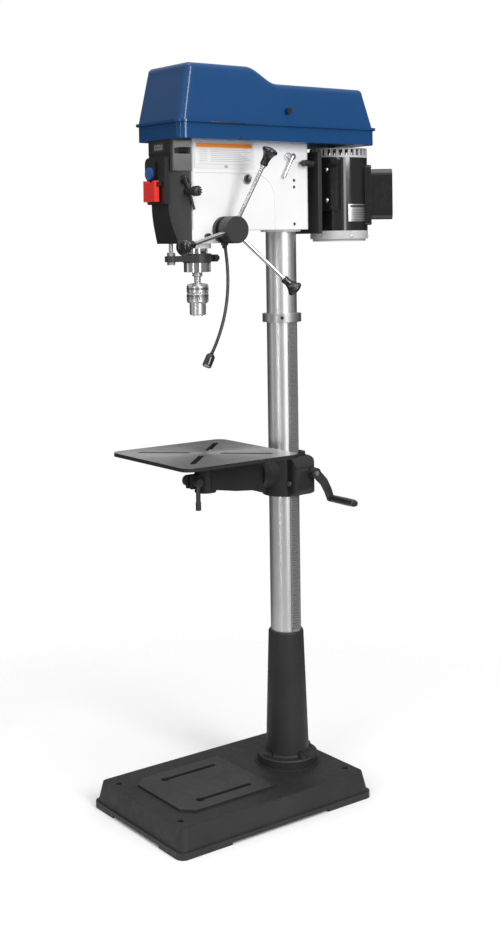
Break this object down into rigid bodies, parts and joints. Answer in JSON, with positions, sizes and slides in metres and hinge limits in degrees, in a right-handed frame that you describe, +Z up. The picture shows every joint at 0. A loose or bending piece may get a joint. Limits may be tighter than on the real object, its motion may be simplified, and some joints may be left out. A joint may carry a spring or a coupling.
{
  "type": "floor-standing drill press",
  "caption": "Floor-standing drill press: cast base, steel column, rack-raised tilting square table, belt-driven spindle with keyed chuck and lever quill feed.",
  "frame": {"origin": "middle of the rectangle of floor bolt holes, at floor level", "axes": "+X is the operator's right as they face the machine, -Y is the front where they stand, +Z is up along the column"},
  "size_m": [0.386, 0.7723, 1.787],
  "materials": {
    "black_casting": "powder coated, fine texture",
    "column_steel": "ground and polished",
    "bare_steel": "machined",
    "dark_steel": "black oxide",
    "crank_grip": "smooth",
    "machined_iron": "machined",
    "white_paint": "smooth gloss paint",
    "chrome": "polished",
    "chuck_steel": "ground",
    "black_paint": "satin paint",
    "black_plastic": "moulded, fine grain",
    "display": "glossy window",
    "start_blue": "smooth",
    "stop_red": "smooth",
    "motor_paint": "gloss black paint",
    "motor_cover_black": "gloss",
    "blue_paint": "gloss paint",
    "pulley_metal": "turned",
    "belt_rubber": "moulded"
  },
  "bodies": {
    "stand": {"base": "black_casting", "flange_bolts": "dark_steel", "column_base": "black_casting", "column": "column_steel", "rack_collar": "bare_steel", "set_screws": "dark_steel", "head_casting": "white_paint", "feed_dial": "black_paint", "spring_housing": "black_paint", "return_spring": "bare_steel", "front_cover": "black_plastic", "depth_display": "display", "switch_box": "black_plastic", "gooseneck": "black_plastic", "lamp_head": "black_paint", "belt_tray": "blue_paint", "front_belt": "belt_rubber", "rear_belt": "belt_rubber"},
    "rack": {"rack": "bare_steel"},
    "bracket": {"table_bracket": "black_casting", "tilt_bolt": "dark_steel"},
    "bracket_lock": {"bracket_lock_lever": "dark_steel"},
    "lift_gear": {"elevating_gear": "bare_steel"},
    "crank": {"worm_shaft": "bare_steel", "crank_arm": "dark_steel"},
    "crank_grip": {"crank_grip": "crank_grip"},
    "table_arm": {"table_arm": "black_casting"},
    "table_lock": {"table_lock_lever": "dark_steel"},
    "table": {"table": "machined_iron"},
    "quill": {"quill": "chrome", "quill_collar": "black_paint", "depth_rod": "bare_steel", "spindle_bearings": "bare_steel"},
    "depth_nut": {"depth_nut": "dark_steel"},
    "spindle": {"spindle": "bare_steel", "chuck_body": "chuck_steel"},
    "chuck_sleeve": {"chuck_sleeve": "chuck_steel"},
    "jaw_1": {"chuck_jaw_1": "chuck_steel"},
    "jaw_2": {"chuck_jaw_2": "chuck_steel"},
    "jaw_3": {"chuck_jaw_3": "chuck_steel"},
    "feed_handle": {"feed_shaft": "bare_steel", "feed_hub": "black_paint", "feed_rods": "chrome", "feed_knobs": "black_plastic"},
    "quill_lock": {"quill_lock": "black_plastic"},
    "start_button": {"start_button": "start_blue"},
    "stop_paddle": {"stop_paddle": "stop_red"},
    "lamp_switch": {"lamp_switch": "bare_steel"},
    "chuck_key": {"chuck_key": "dark_steel"},
    "motor_mount": {"motor_slide": "black_paint", "motor_housing": "motor_paint", "motor_covers": "motor_cover_black"},
    "rotor": {"motor_rotor": "bare_steel", "motor_pulley": "pulley_metal"},
    "tension_lever": {"tension_lever": "chrome"},
    "slide_lock": {"slide_lock_knob": "dark_steel"},
    "idler": {"idler_pulley": "pulley_metal"},
    "spindle_pulley": {"spindle_pulley": "pulley_metal"},
    "lid": {"belt_lid": "blue_paint"},
    "lid_knob": {"lid_knob": "black_plastic"}
  },
  "joints": [
    {"name": "table_swing", "type": "hinge", "parent": "stand", "child": "rack", "pos_m": [0, 0.17, 0.78], "axis": [0, 0, 1], "range_deg": [-180, 180]},
    {"name": "table_lift", "type": "slide", "parent": "rack", "child": "bracket", "axis": [0, 0, 1], "range_m": [-0.325, 0.195]},
    {"name": "table_clamp", "type": "hinge", "parent": "bracket", "child": "bracket_lock", "pos_m": [-0.062, 0.208, 0.794], "axis": [0, 1, 0], "range_deg": [0, 60]},
    {"name": "lift_gear_turn", "type": "hinge", "parent": "bracket", "child": "lift_gear", "pos_m": [0.0563, 0.185, 0.7725], "axis": [0, 1, 0], "range_deg": [-932, 1553]},
    {"name": "crank_turn", "type": "hinge", "parent": "bracket", "child": "crank", "pos_m": [0.09, 0.197, 0.798], "axis": [1, 0, 0], "range_deg": [-24840, 14910]},
    {"name": "crank_grip_spin", "type": "hinge", "parent": "crank", "child": "crank_grip", "pos_m": [0.144, 0.24057, 0.73091], "axis": [1, 0, 0], "continuous": true},
    {"name": "table_tilt", "type": "hinge", "parent": "bracket", "child": "table_arm", "pos_m": [0, 0.098, 0.798], "axis": [0, 1, 0], "range_deg": [-45, 45]},
    {"name": "table_turn", "type": "hinge", "parent": "table_arm", "child": "table", "pos_m": [0, -0.07, 0.83], "axis": [0, 0, 1], "range_deg": [-30, 30]},
    {"name": "table_turn_lock", "type": "hinge", "parent": "table_arm", "child": "table_lock", "pos_m": [0.022, -0.106, 0.8], "axis": [1, 0, 0], "range_deg": [-60, 0]},
    {"name": "quill_feed", "type": "slide", "parent": "stand", "child": "quill", "axis": [0, 0, -1], "range_m": [0, 0.12], "stiffness_N_per_m": 150, "springref_m": -0.7},
    {"name": "depth_nut_set", "type": "slide", "parent": "quill", "child": "depth_nut", "axis": [0, 0, 1], "range_m": [-0.119, 0.02]},
    {"name": "spindle_spin", "type": "hinge", "parent": "quill", "child": "spindle", "pos_m": [0, -0.084, 1.24], "axis": [0, 0, 1], "continuous": true},
    {"name": "chuck_sleeve_turn", "type": "hinge", "parent": "spindle", "child": "chuck_sleeve", "pos_m": [0, -0.084, 1.237], "axis": [0, 0, 1], "range_deg": [0, 1440]},
    {"name": "jaw_1_slide", "type": "slide", "parent": "spindle", "child": "jaw_1", "axis": [-0.1504, -0.0868, -0.9848], "range_m": [0, 0.0145]},
    {"name": "jaw_2_slide", "type": "slide", "parent": "spindle", "child": "jaw_2", "axis": [0.1504, -0.0868, -0.9848], "range_m": [0, 0.0145]},
    {"name": "jaw_3_slide", "type": "slide", "parent": "spindle", "child": "jaw_3", "axis": [0, 0.1736, -0.9848], "range_m": [0, 0.0145]},
    {"name": "feed_turn", "type": "hinge", "parent": "stand", "child": "feed_handle", "pos_m": [0.097, -0.0475, 1.399], "axis": [1, 0, 0], "range_deg": [0, 491.2]},
    {"name": "quill_clamp", "type": "hinge", "parent": "stand", "child": "quill_lock", "pos_m": [0.06, -0.095, 1.384], "axis": [1, 0, 0], "range_deg": [0, 180]},
    {"name": "start_press", "type": "slide", "parent": "stand", "child": "start_button", "axis": [0, 1, 0], "range_m": [0, 0.004], "stiffness_N_per_m": 400, "springref_m": -0.001},
    {"name": "stop_press", "type": "hinge", "parent": "stand", "child": "stop_paddle", "pos_m": [0, -0.207, 1.507], "axis": [1, 0, 0], "range_deg": [0, 9], "stiffness_Nm_per_rad": 0.6, "springref_deg": -5.73},
    {"name": "lamp_toggle", "type": "hinge", "parent": "stand", "child": "lamp_switch", "pos_m": [0.0575, 0.023, 1.521], "axis": [0, 1, 0], "range_deg": [0, 24]},
    {"name": "chuck_key_out", "type": "slide", "parent": "stand", "child": "chuck_key", "axis": [1, 0, 0], "range_m": [0, 0.05]},
    {"name": "motor_tension", "type": "slide", "parent": "stand", "child": "motor_mount", "axis": [0, -1, 0], "range_m": [0, 0.02], "deforming": ["rear_belt"]},
    {"name": "tension_lever_turn", "type": "hinge", "parent": "stand", "child": "tension_lever", "pos_m": [0.06, 0.157, 1.577], "axis": [-1, 0, 0], "range_deg": [0, 40.2]},
    {"name": "motor_spin", "type": "hinge", "parent": "motor_mount", "child": "rotor", "pos_m": [0, 0.361, 1.5], "axis": [0, 0, 1], "continuous": true},
    {"name": "idler_spin", "type": "hinge", "parent": "stand", "child": "idler", "pos_m": [0, 0.128, 1.65], "axis": [0, 0, 1], "continuous": true},
    {"name": "spindle_pulley_spin", "type": "hinge", "parent": "stand", "child": "spindle_pulley", "pos_m": [0, -0.084, 1.65], "axis": [0, 0, 1], "continuous": true},
    {"name": "slide_lock_turn", "type": "hinge", "parent": "stand", "child": "slide_lock", "pos_m": [0.06, 0.196, 1.562], "axis": [1, 0, 0], "range_deg": [0, 180]},
    {"name": "lid_open", "type": "hinge", "parent": "stand", "child": "lid", "pos_m": [-0.1075, 0.11, 1.652], "axis": [0, -1, 0], "range_deg": [0, 95]},
    {"name": "lid_knob_turn", "type": "hinge", "parent": "lid", "child": "lid_knob", "pos_m": [0.096, 0.122, 1.684], "axis": [1, 0, 0], "range_deg": [0, 90]}
  ],
  "couplings": [
    {"joint": "crank_turn", "follows": "table_lift", "rad_per_m": 1333.3},
    {"joint": "lift_gear_turn", "follows": "table_lift", "rad_per_m": -83.333},
    {"joint": "feed_turn", "follows": "quill_feed", "rad_per_m": 71.429},
    {"joint": "jaw_1_slide", "follows": "chuck_sleeve_turn", "m_per_rad": 0.000575},
    {"joint": "jaw_2_slide", "follows": "chuck_sleeve_turn", "m_per_rad": 0.000575},
    {"joint": "jaw_3_slide", "follows": "chuck_sleeve_turn", "m_per_rad": 0.000575},
    {"joint": "tension_lever_turn", "follows": "motor_tension", "rad_per_m": 35},
    {"joint": "idler_spin", "follows": "motor_spin", "ratio": 0.42857},
    {"joint": "spindle_pulley_spin", "follows": "motor_spin", "ratio": 0.35831},
    {"joint": "spindle_spin", "follows": "motor_spin", "ratio": 0.35831}
  ]
}
